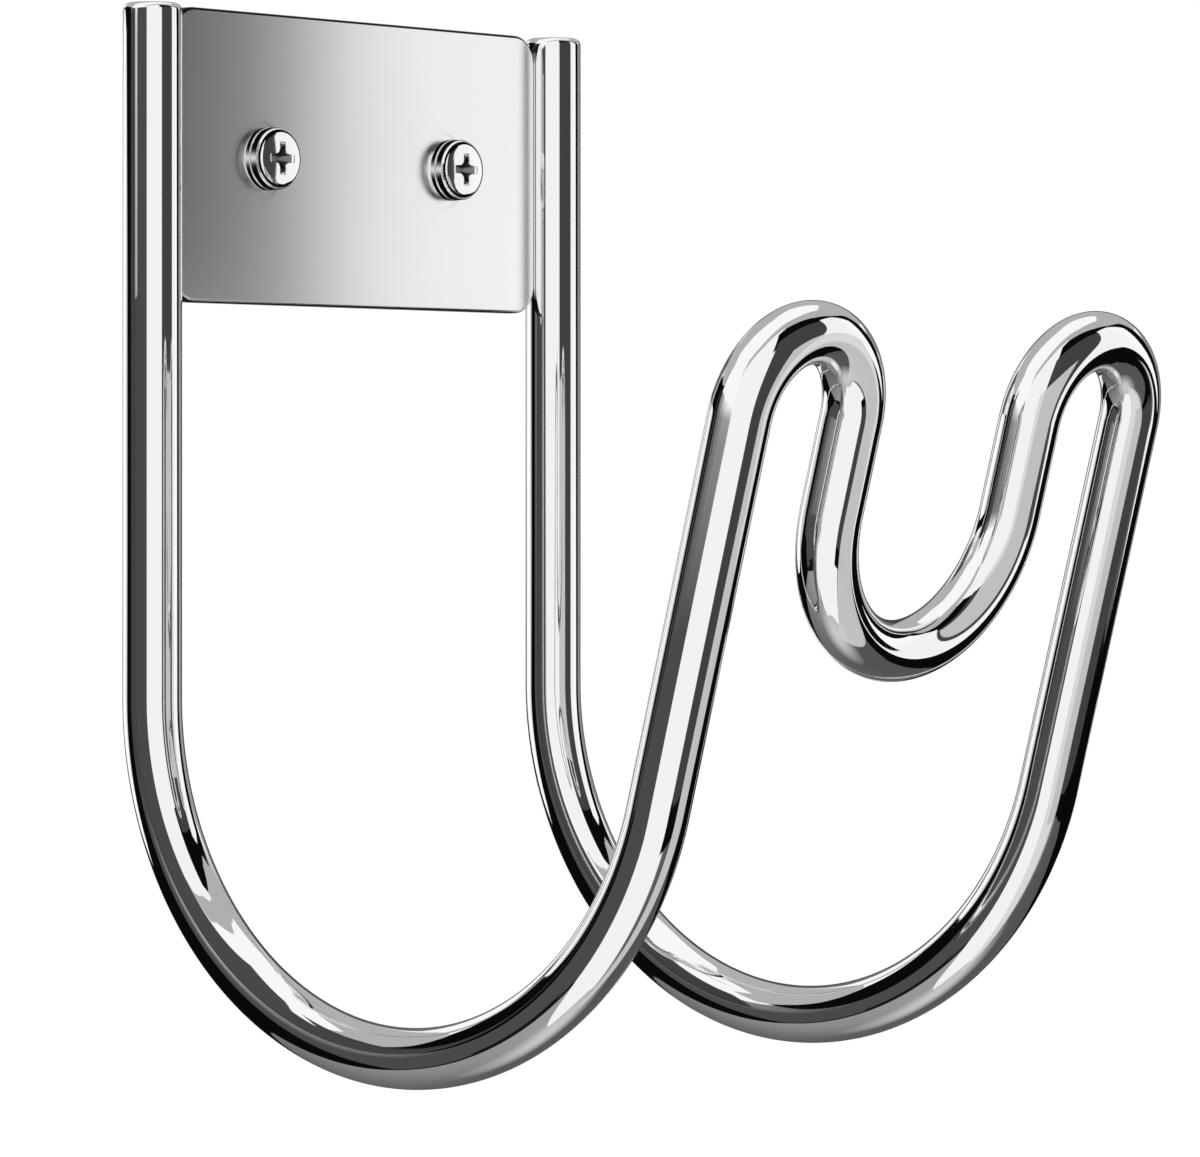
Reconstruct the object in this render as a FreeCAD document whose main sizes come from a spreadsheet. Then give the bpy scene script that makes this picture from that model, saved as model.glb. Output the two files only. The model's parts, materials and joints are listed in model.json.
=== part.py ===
"""Wall hanger bent from one round steel rod.

Two wall legs hold a flat plate between them. Each leg bends forward through
a wide cradle arc, rises again, turns over a tight hump and drops into the
rest notch in the middle, where both halves meet. The plate is welded between
the legs at their tops, and two screws on washers fasten it to the wall.

Frame: X along the wall, Y into the wall with the wall's face at Y = 0, and
Z up. The origin lies midway between the two screws.
"""

import FreeCAD
import Part

import math
import os

import Sketcher
from FreeCAD import Placement, Rotation, Vector

# Driving dimensions in millimetres and degrees
SIZES = [
    ("rod_diameter", 12.0, "round rod the hanger is bent from"),
    ("end_round", 1.5, "rounding of the rod's two cut ends"),
    ("leg_spacing", 122.0, "between the centre lines of the wall legs"),
    ("leg_length", 140.0, "straight wall leg, from its top end to the cradle"),
    ("cradle_radius", 68.0, "centre line of the wide bend"),
    ("front_lean", 15.0, "lean of the whole front away from the wall"),
    ("front_length", 75.5, "straight front leg between cradle and hump"),
    ("hump_radius", 16.5, "centre line of the tight bend at the top"),
    ("inner_length", 18.0, "straight limb between hump and notch"),
    ("plate_height", 60.0, "wall plate, from its top to its bottom"),
    ("plate_thickness", 3.0, "wall plate"),
    ("plate_corner", 6.0, "corner radius of the wall plate"),
    ("plate_round", 1.0, "soft front edge of the wall plate"),
    ("plate_chamfer", 0.4, "broken back edge of the wall plate"),
    ("weld_margin", 7.0, "from the plate's top and bottom to the weld seam's ends"),
    ("weld_radius", 2.2, "round back of the weld seam"),
    ("weld_shift", 0.6, "middle of the weld seam, outside the plate's side"),
    ("screw_spacing", 56.0, "between the two screws"),
    ("hole_diameter", 6.6, "clearance hole in the plate"),
    ("washer_outer", 13.0, "outside of the washer"),
    ("washer_bore", 6.4, "hole of the washer"),
    ("washer_thickness", 1.4, "washer"),
    ("washer_round", 0.3, "rounded front edge of the washer"),
    ("head_diameter", 12.8, "pan head of the screw"),
    ("head_height", 3.0, "pan head of the screw, without its dome"),
    ("head_round", 1.5, "rounded edge of the pan head"),
    ("head_dome", 0.3, "rise of the head's face to its middle"),
    ("recess_span", 6.6, "cross recess, tip to tip at the face"),
    ("recess_width", 1.6, "cross recess, width of an arm at the face"),
    ("recess_floor_span", 2.4, "cross recess, tip to tip at its floor"),
    ("recess_floor_width", 1.0, "cross recess, width of an arm at its floor"),
    ("recess_depth", 2.4, "cross recess, below the edge of the face"),
    ("neck_diameter", 4.8, "plain neck of the screw under its head"),
    ("thread_diameter", 6.0, "screw over its thread"),
    ("thread_gap", 0.5, "from the plate's back to where the thread starts"),
    ("screw_length", 40.0, "screw, from under its head to its tip"),
    ("tip_length", 7.0, "tapered point of the screw"),
]

doc = FreeCAD.newDocument("wall_hanger")
sheet = doc.addObject("Spreadsheet::Sheet", "Sizes")
for row, (name, number, meaning) in enumerate(SIZES, start=1):
    sheet.set(f"A{row}", name)
    sheet.set(f"B{row}", str(number))
    sheet.setAlias(f"B{row}", name)
    sheet.set(f"C{row}", meaning)
doc.recompute()

# Places that several pieces share, as formulas over the sheet
ROD_PLANE = "(-Sizes.rod_diameter / 2)"
TOP = "(Sizes.plate_height / 2)"
CRADLE_HEIGHT = f"({TOP} - Sizes.leg_length)"
LEG_SIDE = "(Sizes.leg_spacing / 2)"
PLATE_BACK = f"({ROD_PLANE} + Sizes.plate_thickness)"
PLATE_SIDE = "(Sizes.leg_spacing / 2 - Sizes.rod_diameter / 2)"
WELD_REACH = "(Sizes.plate_height / 2 - Sizes.weld_margin - Sizes.weld_radius)"
WASHER_FACE = f"({ROD_PLANE} - Sizes.washer_thickness)"
HEAD_FACE = f"({WASHER_FACE} - Sizes.head_height)"
THREAD_START = f"({PLATE_BACK} + Sizes.thread_gap)"
THREAD_END = f"({WASHER_FACE} + Sizes.screw_length - Sizes.tip_length)"
LEAN = "(Sizes.front_lean * 1 deg)"
FRONT_FOOT_Y = f"({ROD_PLANE} - Sizes.cradle_radius * (1 + cos({LEAN})))"
FRONT_FOOT_Z = f"({CRADLE_HEIGHT} - Sizes.cradle_radius * sin({LEAN}))"
HUMP_FOOT_Y = f"({FRONT_FOOT_Y} - Sizes.front_length * sin({LEAN}))"
HUMP_FOOT_Z = f"({FRONT_FOOT_Z} + Sizes.front_length * cos({LEAN}))"


def value(formula):
    """The number that a formula over the sheet gives now."""
    return float(sheet.evalExpression(formula))


def new_body(label):
    body = doc.addObject("PartDesign::Body", label)
    body.Label = label
    body.Placement = Placement()
    return body


def new_sketch(body, role, name, offset=None, lean=None):
    """A sketch on one of the body's own origin planes, moved by formulas."""
    plane = next(f for f in body.Origin.OriginFeatures if f.Role == role)
    sketch = body.newObject("Sketcher::SketchObject", name)
    sketch.AttachmentSupport = [(plane, "")]
    sketch.MapMode = "FlatFace"
    if lean:
        turn = Rotation(Vector(1, 0, 0), value(lean + " / 1 deg"))
        sketch.AttachmentOffset = Placement(Vector(0, 0, 0), turn)
        sketch.setExpression(".AttachmentOffset.Rotation.Angle", lean)
    for axis, formula in (offset or {}).items():
        sketch.setExpression(f".AttachmentOffset.Base.{axis}", formula)
    return sketch


def measure(sketch, kind, where, name, formula):
    """A dimension of the sketch that follows a formula over the sheet."""
    number = value(formula)
    if kind == "Angle":
        number = math.radians(number)
        formula = f"({formula}) * 1 deg"
    index = sketch.addConstraint(Sketcher.Constraint(kind, *where, number))
    sketch.renameConstraint(index, name)
    sketch.setExpression(f"Constraints.{name}", formula)


def tie(sketch, kind, *where):
    sketch.addConstraint(Sketcher.Constraint(kind, *where))


def pin(sketch, geometry, point, name, x, y):
    """Holds one point of a sketch at two formulas over the sheet."""
    for axis, formula, own_axis in (("X", x, -2), ("Y", y, -1)):
        if formula == "0":
            tie(sketch, "PointOnObject", geometry, point, own_axis)
            continue
        ends = (-1, 1, geometry, point)
        if value(formula) < 0:
            # a distance is never negative, so it is measured the other way
            ends = (geometry, point, -1, 1)
            formula = f"-({formula})"
        measure(sketch, "Distance" + axis, ends, f"{name}_{axis.lower()}", formula)


def line(sketch, start, end):
    return sketch.addGeometry(Part.LineSegment(Vector(*start, 0), Vector(*end, 0)))


def arc(sketch, centre, radius, start, end):
    """An arc that runs anticlockwise between two angles in degrees."""
    circle = Part.Circle(Vector(*centre, 0), Vector(0, 0, 1), radius)
    return sketch.addGeometry(Part.ArcOfCircle(circle, math.radians(start), math.radians(end)))


def circle_profile(body, name, across, along, offset, lean=None):
    """The rod's round section, on a plane square to the path's start."""
    sketch = new_sketch(body, "XY_Plane", name, offset, lean)
    centre = Vector(value(across), value(along), 0)
    ring = sketch.addGeometry(Part.Circle(centre, Vector(0, 0, 1), value("Sizes.rod_diameter") / 2))
    pin(sketch, ring, 3, "centre", across, along)
    measure(sketch, "Diameter", (ring,), "rod", "Sizes.rod_diameter")
    return sketch


def sweep(body, name, profile, path, edges):
    pipe = body.newObject("PartDesign::AdditivePipe", name)
    pipe.Profile = profile
    pipe.Spine = (path, [f"Edge{i}" for i in range(1, edges + 1)])
    doc.recompute()
    return pipe


def edge_names(shape, wanted):
    return [f"Edge{i}" for i, edge in enumerate(shape.Edges, start=1) if wanted(edge)]


# The bent rod
def hanger_rod():
    body = new_body("hanger_rod")
    top, low = value(TOP), value(CRADLE_HEIGHT)
    plane = value(ROD_PLANE)
    radius, lean = value("Sizes.cradle_radius"), value("Sizes.front_lean")
    rise = value("Sizes.front_length")
    side, hump = value(LEG_SIDE), value("Sizes.hump_radius")
    drop = value("Sizes.inner_length")

    # wall leg, cradle and front leg, in a plane square to the wall
    path = new_sketch(body, "YZ_Plane", "side_path", {"z": LEG_SIDE})
    leg = line(path, (plane, top), (plane, low))
    cradle = arc(path, (plane - radius, low), radius, lean - 180, 0)
    across = radius * (1 + math.cos(math.radians(lean)))
    foot = (plane - across, low - radius * math.sin(math.radians(lean)))
    tip = (foot[0] - rise * math.sin(math.radians(lean)), foot[1] + rise * math.cos(math.radians(lean)))
    front = line(path, foot, tip)
    tie(path, "Vertical", leg)
    tie(path, "Tangent", leg, 2, cradle, 2)
    tie(path, "Tangent", cradle, 1, front, 1)
    pin(path, leg, 1, "top_end", ROD_PLANE, TOP)
    measure(path, "Distance", (leg,), "leg_length", "Sizes.leg_length")
    measure(path, "Radius", (cradle,), "cradle_radius", "Sizes.cradle_radius")
    measure(path, "Distance", (front,), "front_length", "Sizes.front_length")
    measure(path, "Angle", (front,), "lean", "90 + Sizes.front_lean")
    section = circle_profile(body, "leg_section", LEG_SIDE, ROD_PLANE, {"z": TOP})
    side_sweep = sweep(body, "side_sweep", section, path, 3)

    # hump, inner limb and half of the notch, in the leaning front plane
    path = new_sketch(body, "XZ_Plane", "front_path", {"y": FRONT_FOOT_Z, "z": f"-{FRONT_FOOT_Y}"}, LEAN)
    bend = arc(path, (side - hump, rise), hump, 0, 180)
    limb = line(path, (side - 2 * hump, rise), (side - 2 * hump, rise - drop))
    notch = arc(path, (0, rise - drop), side - 2 * hump, -90, 0)
    tie(path, "Horizontal", bend, 1, bend, 3)
    tie(path, "Tangent", bend, 2, limb, 1)
    tie(path, "Tangent", limb, 2, notch, 2)
    tie(path, "Vertical", limb)
    tie(path, "PointOnObject", notch, 3, -2)
    tie(path, "PointOnObject", notch, 1, -2)
    pin(path, bend, 1, "start", LEG_SIDE, "Sizes.front_length")
    measure(path, "Radius", (bend,), "hump_radius", "Sizes.hump_radius")
    measure(path, "Distance", (limb,), "inner_length", "Sizes.inner_length")
    foot = {"y": HUMP_FOOT_Y, "z": HUMP_FOOT_Z}
    section = circle_profile(body, "front_section", LEG_SIDE, "0", foot, LEAN)
    front_sweep = sweep(body, "front_sweep", section, path, 3)

    # the other half
    mirror = body.newObject("PartDesign::Mirrored", "other_half")
    mirror.Originals = [side_sweep, front_sweep]
    mirror.MirrorPlane = (next(f for f in body.Origin.OriginFeatures if f.Role == "YZ_Plane"), [""])
    body.Tip = mirror
    doc.recompute()

    # the two cut ends
    ends = edge_names(mirror.Shape, lambda e: e.BoundBox.ZMin > top - 0.001)
    fillet = body.newObject("PartDesign::Fillet", "rounded_ends")
    fillet.Base = (mirror, ends)
    fillet.setExpression("Radius", "Sizes.end_round")
    return body


# The wall plate, butted between the legs with its front on their centre plane
def mounting_plate():
    body = new_body("mounting_plate")
    side, half, corner = value(PLATE_SIDE), value("Sizes.plate_height") / 2, value("Sizes.plate_corner")

    outline = new_sketch(body, "XZ_Plane", "plate_outline", {"z": f"-{PLATE_BACK}"})
    lines, arcs = [], []
    for turn in range(4):
        # one side and the corner after it, turned a quarter each time
        along, reach = (side, half) if turn % 2 == 0 else (half, side)
        spin = Rotation(Vector(0, 0, 1), 90 * turn)
        start = spin.multVec(Vector(along, corner - reach, 0))
        end = spin.multVec(Vector(along, reach - corner, 0))
        centre = spin.multVec(Vector(along - corner, reach - corner, 0))
        lines.append(line(outline, (start.x, start.y), (end.x, end.y)))
        arcs.append(arc(outline, (centre.x, centre.y), corner, 90 * turn, 90 * turn + 90))
    for turn in range(4):
        tie(outline, "Tangent", lines[turn], 2, arcs[turn], 1)
        tie(outline, "Tangent", arcs[turn], 2, lines[(turn + 1) % 4], 1)
        tie(outline, "Vertical" if turn % 2 == 0 else "Horizontal", lines[turn])
        if turn:
            tie(outline, "Equal", arcs[0], arcs[turn])
    measure(outline, "Radius", (arcs[0],), "corner", "Sizes.plate_corner")
    measure(outline, "DistanceX", (-1, 1, lines[0], 1), "right", PLATE_SIDE)
    measure(outline, "DistanceX", (lines[2], 1, -1, 1), "left", PLATE_SIDE)
    measure(outline, "DistanceY", (-1, 1, lines[1], 1), "top", TOP)
    measure(outline, "DistanceY", (lines[3], 1, -1, 1), "bottom", f"Sizes.plate_height - {TOP}")
    pad = body.newObject("PartDesign::Pad", "plate_blank")
    pad.Profile = outline
    pad.setExpression("Length", "Sizes.plate_thickness")
    doc.recompute()

    centres = new_sketch(body, "XZ_Plane", "hole_centres", {"z": f"-{ROD_PLANE}"})
    for sign, name in ((-1, "left"), (1, "right")):
        spot = Vector(sign * value("Sizes.screw_spacing") / 2, 0, 0)
        ring = centres.addGeometry(Part.Circle(spot, Vector(0, 0, 1), value("Sizes.hole_diameter") / 2))
        pin(centres, ring, 3, name, f"{sign} * Sizes.screw_spacing / 2", "0")
        measure(centres, "Diameter", (ring,), name + "_hole", "Sizes.hole_diameter")
    doc.recompute()
    holes = body.newObject("PartDesign::Hole", "screw_holes")
    holes.Profile = centres
    holes.Threaded = False
    holes.DepthType = "ThroughAll"
    holes.setExpression("Diameter", "Sizes.hole_diameter")
    doc.recompute()

    # outline edges: soft towards the room, broken towards the wall
    front, back, hole = value(ROD_PLANE), value(PLATE_BACK), value("Sizes.hole_diameter")

    def rim(at):
        """Picks the outline's edges in the plane Y = at, and not those of the holes."""
        def wanted(edge):
            full_ring = len(edge.Vertexes) == 1 and abs(edge.BoundBox.XLength - hole) < 0.01
            return edge.BoundBox.YLength < 0.001 and abs(edge.BoundBox.YMin - at) < 0.001 and not full_ring
        return wanted

    soft = body.newObject("PartDesign::Fillet", "soft_front_edge")
    soft.Base = (holes, edge_names(holes.Shape, rim(front)))
    soft.setExpression("Radius", "Sizes.plate_round")
    doc.recompute()
    broken = body.newObject("PartDesign::Chamfer", "broken_back_edge")
    broken.Base = (soft, edge_names(soft.Shape, rim(back)))
    broken.setExpression("Size", "Sizes.plate_chamfer")
    return body


# A weld seam fills the groove between a leg and the plate, seen from behind
def weld_seam(label, sign, rod, plate):
    run = doc.addObject("Part::Cylinder", label + "_run")
    run.setExpression("Height", f"2 * {WELD_REACH}")
    run.setExpression(".Placement.Base.z", f"-{WELD_REACH}")
    pieces = [run]
    for end, way in (("lower", -1), ("upper", 1)):
        ball = doc.addObject("Part::Sphere", f"{label}_{end}_end")
        ball.setExpression(".Placement.Base.z", f"{way} * {WELD_REACH}")
        pieces.append(ball)
    for piece in pieces:
        piece.setExpression("Radius", "Sizes.weld_radius")
        piece.setExpression(".Placement.Base.x", f"{sign} * ({PLATE_SIDE} + Sizes.weld_shift)")
        piece.setExpression(".Placement.Base.y", f"{ROD_PLANE} + Sizes.plate_round + Sizes.weld_radius")
    bead = doc.addObject("Part::MultiFuse", label + "_bead")
    bead.Shapes = pieces
    beside_rod = doc.addObject("Part::Cut", label + "_beside_rod")
    beside_rod.Base = bead
    beside_rod.Tool = rod
    seam = doc.addObject("Part::Cut", label)
    seam.Base = beside_rod
    seam.Tool = plate
    seam.Label = label
    return seam


def cross(body, name, side, depth, which):
    """The outline of a cross with four equal arms, on a plane along the wall."""
    sketch = new_sketch(body, "XZ_Plane", name, {"x": side, "z": f"-{depth}"})
    reach, half = f"Sizes.{which}_span / 2", f"Sizes.{which}_width / 2"
    corners = []
    for x, y in ((1, 1), (-1, 1), (-1, -1), (1, -1)):
        # the end of one arm, the inner corner and the end of the next arm
        quarter = [
            (f"{x} * {reach}", f"{y} * {half}"),
            (f"{x} * {half}", f"{y} * {half}"),
            (f"{x} * {half}", f"{y} * {reach}"),
        ]
        corners += quarter if x * y > 0 else quarter[::-1]
    points = [(value(x), value(y)) for x, y in corners]
    lines = [line(sketch, points[i], points[(i + 1) % len(points)]) for i in range(len(points))]
    for i, (x, y) in enumerate(corners):
        tie(sketch, "Coincident", lines[i], 2, lines[(i + 1) % len(lines)], 1)
        pin(sketch, lines[i], 1, f"corner_{i}", x, y)
    return sketch


# A pan head screw with a cross recess. A plain neck passes the washer and the plate,
# and the threaded shank behind it, drawn at the thread's outer size, goes into the wall
def screw(label, sign):
    body = new_body(label)
    side = f"({sign} * Sizes.screw_spacing / 2)"
    face, seat = value(HEAD_FACE), value(WASHER_FACE)
    head, neck, shank = (value(f"Sizes.{name}_diameter") / 2 for name in ("head", "neck", "thread"))
    bend, dome = value("Sizes.head_round"), value("Sizes.head_dome")
    start, shoulder, end = value(THREAD_START), value(THREAD_END), seat + value("Sizes.screw_length")
    flat = head - bend
    dome_radius = (flat * flat + dome * dome) / (2 * dome)

    half = new_sketch(body, "YZ_Plane", label + "_profile", {"z": side})
    crown = math.degrees(math.asin(flat / dome_radius))
    top = arc(half, (face - dome + dome_radius, 0), dome_radius, 180 - crown, 180)
    edge = arc(half, (face + bend, flat), bend, 90, 180)
    rim = line(half, (face + bend, head), (seat, head))
    under = line(half, (seat, head), (seat, neck))
    plain = line(half, (seat, neck), (start, neck))
    step = line(half, (start, neck), (start, shank))
    barrel = line(half, (start, shank), (shoulder, shank))
    point = line(half, (shoulder, shank), (end, 0))
    axis = line(half, (end, 0), (face - dome, 0))
    for first, leaves, second, meets in (
        (top, 1, edge, 2), (edge, 1, rim, 1), (rim, 2, under, 1), (under, 2, plain, 1), (plain, 2, step, 1),
        (step, 2, barrel, 1), (barrel, 2, point, 1), (point, 2, axis, 1), (axis, 2, top, 2),
    ):
        tie(half, "Coincident", first, leaves, second, meets)
    tie(half, "PointOnObject", top, 3, -1)
    tie(half, "PointOnObject", top, 2, -1)
    tie(half, "PointOnObject", axis, 1, -1)
    edge_height = "Sizes.head_diameter / 2 - Sizes.head_round"
    pin(half, edge, 3, "edge_centre", f"{HEAD_FACE} + Sizes.head_round", edge_height)
    measure(half, "DistanceX", (top, 2, edge, 2), "dome", "Sizes.head_dome")
    tie(half, "Horizontal", edge, 3, edge, 2)
    tie(half, "Vertical", edge, 3, edge, 1)
    tie(half, "Horizontal", rim)
    pin(half, rim, 2, "seat", WASHER_FACE, "Sizes.head_diameter / 2")
    tie(half, "Vertical", under)
    tie(half, "Horizontal", plain)
    pin(half, plain, 2, "neck", THREAD_START, "Sizes.neck_diameter / 2")
    tie(half, "Vertical", step)
    tie(half, "Horizontal", barrel)
    pin(half, barrel, 2, "shoulder", THREAD_END, "Sizes.thread_diameter / 2")
    measure(half, "DistanceX", (point, 1, point, 2), "tip", "Sizes.tip_length")
    turned = body.newObject("PartDesign::Revolution", label + "_turned")
    turned.Profile = half
    turned.ReferenceAxis = (half, ["H_Axis"])
    turned.Angle = 360
    doc.recompute()

    mouth = cross(body, label + "_mouth", side, f"({HEAD_FACE} - Sizes.head_dome)", "recess")
    floor = cross(body, label + "_floor", side, f"({HEAD_FACE} + Sizes.recess_depth)", "recess_floor")
    recess = body.newObject("PartDesign::SubtractiveLoft", label + "_recess")
    recess.Profile = mouth
    recess.Sections = [floor]
    recess.Ruled = True
    return body


# A plain washer between the plate and the head
def washer(label, sign):
    body = new_body(label)
    side = f"({sign} * Sizes.screw_spacing / 2)"
    rings = new_sketch(body, "XZ_Plane", label + "_rings", {"x": side, "z": f"-{ROD_PLANE}"})
    for name in ("outer", "bore"):
        size = f"Sizes.washer_{name}"
        ring = rings.addGeometry(Part.Circle(Vector(0, 0, 0), Vector(0, 0, 1), value(size) / 2))
        tie(rings, "Coincident", ring, 3, -1, 1)
        measure(rings, "Diameter", (ring,), name, size)
    pad = body.newObject("PartDesign::Pad", label + "_blank")
    pad.Profile = rings
    pad.setExpression("Length", "Sizes.washer_thickness")
    doc.recompute()
    front, bore = value(WASHER_FACE), value("Sizes.washer_bore")

    def rim(edge):
        return abs(edge.BoundBox.YMax - front) < 0.001 and edge.BoundBox.XLength > bore + 0.001

    fillet = body.newObject("PartDesign::Fillet", label + "_soft_edge")
    fillet.Base = (pad, edge_names(pad.Shape, rim))
    fillet.setExpression("Radius", "Sizes.washer_round")
    return body


rod = hanger_rod()
plate = mounting_plate()
doc.recompute()
nodes = [rod, plate]
for side_name, side_sign in (("left", -1), ("right", 1)):
    nodes.append(weld_seam("weld_" + side_name, side_sign, rod, plate))
    nodes.append(washer("washer_" + side_name, side_sign))
    nodes.append(screw("screw_" + side_name, side_sign))
doc.recompute()

for item in doc.Objects:
    if {"Invalid", "Error"} & set(item.State):
        raise RuntimeError(f"{item.Label} failed: {item.State}")
os.makedirs("parts", exist_ok=True)
for node in nodes:
    shape = node.Shape
    if shape.isNull() or not shape.isValid() or len(shape.Solids) != 1:
        raise RuntimeError(f"{node.Label} is not one valid solid")
    shape.exportStep(f"parts/{node.Label}.step")
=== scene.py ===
# %% [markdown]
# # A wall hanger made of one bent, polished rod
# The real hanger is bent from one long round rod. A flat plate is welded between its two wall legs,
# and two pan head screws on washers hold the plate to the wall. This lesson dresses the plain CAD
# solids: every piece is worked out again as a smooth surface, because polished metal shows each
# facet of a coarse mesh. The frame: X runs along the wall, Y points into the wall, Z is up, and the
# origin lies midway between the screws.

# %% Load the CAD model as the frame
import json

import bpy
import numpy as np
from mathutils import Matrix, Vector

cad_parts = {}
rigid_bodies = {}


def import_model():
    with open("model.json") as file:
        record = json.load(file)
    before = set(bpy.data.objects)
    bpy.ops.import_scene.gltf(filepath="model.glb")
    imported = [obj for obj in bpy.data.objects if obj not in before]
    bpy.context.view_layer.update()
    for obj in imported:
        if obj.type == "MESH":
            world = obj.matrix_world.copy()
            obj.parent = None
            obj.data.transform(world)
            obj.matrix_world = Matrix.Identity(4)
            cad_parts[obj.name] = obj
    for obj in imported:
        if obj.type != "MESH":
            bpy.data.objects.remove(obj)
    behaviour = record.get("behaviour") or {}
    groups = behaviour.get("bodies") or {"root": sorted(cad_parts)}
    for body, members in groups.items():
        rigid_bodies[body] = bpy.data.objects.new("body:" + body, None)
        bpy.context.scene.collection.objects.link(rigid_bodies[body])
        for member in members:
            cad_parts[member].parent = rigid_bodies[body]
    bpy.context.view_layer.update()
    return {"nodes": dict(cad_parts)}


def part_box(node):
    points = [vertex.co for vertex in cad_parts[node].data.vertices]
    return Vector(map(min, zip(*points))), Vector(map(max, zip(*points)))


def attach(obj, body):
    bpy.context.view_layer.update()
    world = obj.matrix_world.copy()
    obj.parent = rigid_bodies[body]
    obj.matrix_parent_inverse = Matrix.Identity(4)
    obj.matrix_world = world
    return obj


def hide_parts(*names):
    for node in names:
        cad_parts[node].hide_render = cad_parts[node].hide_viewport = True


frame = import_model()
MM = 0.001
TINY = 1e-9
BODY = "root"
print("CAD nodes:", sorted(frame["nodes"]))

# %% [markdown]
# ## Skinning a grid
# Every piece below is a grid of points: rows run along the piece and columns run once round it. One
# helper turns such a grid into a mesh. It joins neighbours with four-sided faces, wraps the last
# column back to the first, and closes a piece with a fan of triangles at each end. Modelling by
# hand would work too, but a formula keeps every edge exact.

# %% A helper that makes a mesh from points and faces


def solid(name, points, groups, sharp=40.0):
    """Makes an object from points in metres and groups of faces, one row of corners per face.

    The enclosed volume is a sixth of the sum of each triangle's first corner dotted with the cross
    product of the other two. If it comes out negative, the faces point inwards, so every one of
    them is reversed. Edges that turn by more than sharp degrees stay crisp.
    """
    volume = 0.0
    for group in groups:
        for k in range(1, group.shape[1] - 1):
            a, b, c = (points[group[:, i]] for i in (0, k, k + 1))
            volume += np.einsum("ij,ij->", a, np.cross(b, c)) / 6
    if volume < 0:
        groups = [group[:, ::-1] for group in groups]
    corners = np.concatenate([group.ravel() for group in groups])
    sizes = np.concatenate([np.full(len(group), group.shape[1]) for group in groups])
    mesh = bpy.data.meshes.new(name)
    mesh.vertices.add(len(points))
    mesh.vertices.foreach_set("co", points.astype(np.float32).ravel())
    mesh.loops.add(len(corners))
    mesh.loops.foreach_set("vertex_index", corners.astype(np.int32))
    mesh.polygons.add(len(sizes))
    mesh.polygons.foreach_set("loop_start", (np.cumsum(sizes) - sizes).astype(np.int32))
    mesh.update(calc_edges=True)
    mesh.polygons.foreach_set("use_smooth", np.ones(len(sizes), bool))
    mesh.set_sharp_from_angle(angle=np.radians(sharp))
    mesh.validate()
    made = bpy.data.objects.new(name, mesh)
    bpy.context.scene.collection.objects.link(made)
    spans = [round(float(value) / MM, 2) for value in np.ptp(points, axis=0)]
    print(f"{name}: {len(sizes)} faces, {spans} mm, {abs(volume) / MM**3:.0f} mm3")
    return made


# %% A helper that skins a grid


def skin(name, rows, poles=(), sharp=40.0):
    """Makes an object from rows of points, each row a closed ring of the same count.

    Neighbouring rings are joined with quads. With two poles, a fan of triangles closes each end.
    Without poles, the last ring joins the first.
    """
    rows = np.asarray(rows, float)
    count, around = rows.shape[:2]
    ring = np.arange(around)
    after = np.roll(ring, -1)
    first = np.arange(count - 1 if len(poles) else count)[:, None] * around
    second = (first + around) % (count * around)
    quads = np.stack([first + ring, first + after, second + after, second + ring], -1).reshape(-1, 4)
    points = np.concatenate([rows.reshape(-1, 3), np.reshape(poles, (-1, 3))])
    groups = [quads]
    if len(poles):
        last = (count - 1) * around
        groups.append(np.stack([np.full(around, count * around), after, ring], -1))
        groups.append(np.stack([np.full(around, count * around + 1), last + ring, last + after], -1))
    return solid(name, points, groups, sharp)


def stand_for(piece, node):
    """Seats a piece on the body, hides the CAD node that it stands for, and prints how far it lies off
    its box.
    """
    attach(piece, BODY)
    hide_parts(node)
    low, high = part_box(node)
    points = np.zeros(len(piece.data.vertices) * 3)
    piece.data.vertices.foreach_get("co", points)
    points = points.reshape(-1, 3)
    off = np.abs(np.stack([points.min(0) - low, points.max(0) - high])).max()
    print(f"{piece.name} stands for {node}, {off / MM:.2f} mm off its box")


# %% [markdown]
# ## The rod
# The rod is 12 mm thick. From the top of one wall leg it drops, swings forward in a large cradle
# arc, rises as a leaning front leg, turns over in a hump, and dips into the rest notch. The other
# half is its mirror image. A curve with a bevel would do, but its rings would not meet the arcs
# exactly. Here each stretch is a straight line or a circle, and a round section is carried along
# it, so that the reflections run without a kink.

# %% The rod's sizes
ROD = 6.0 * MM
END_ROUND = 1.5 * MM
LEG_X, ROD_Y, TOP_Z, LEG_FOOT_Z = 61 * MM, -6 * MM, 30 * MM, -110 * MM
CRADLE = 68 * MM
LEAN = np.radians(15)
FRONT_LENGTH, HUMP, NOTCH, DROP = 75.5 * MM, 16.5 * MM, 28 * MM, 18 * MM
AROUND = 96
LEG_STEPS, ARC_STEPS, FRONT_STEPS = 28, 132, 16
HUMP_STEPS, DROP_STEPS, NOTCH_STEPS = 90, 5, 60
X_AXIS, Y_AXIS = np.eye(3)[0], np.eye(3)[1]
UPHILL = np.array([0.0, -np.sin(LEAN), np.cos(LEAN)])
LEAN_NORMAL = np.cross(UPHILL, X_AXIS)
SWEEP = np.pi - LEAN
FOOT = np.array([0, ROD_Y - CRADLE + CRADLE * np.cos(SWEEP), LEG_FOOT_Z - CRADLE * np.sin(SWEEP)])
print("foot of the front legs in mm:", (FOOT / MM).round(2))

# %% The rod's line, from one wall leg to the middle of the notch


def many(direction, count):
    """The same direction for each of count points."""
    return np.tile(direction, (count, 1))


def leaning(x, height):
    """Points of the leaning front plane: its foot, plus x sideways, plus height uphill."""
    return FOOT + np.outer(x, X_AXIS) + np.outer(height, UPHILL)


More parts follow.
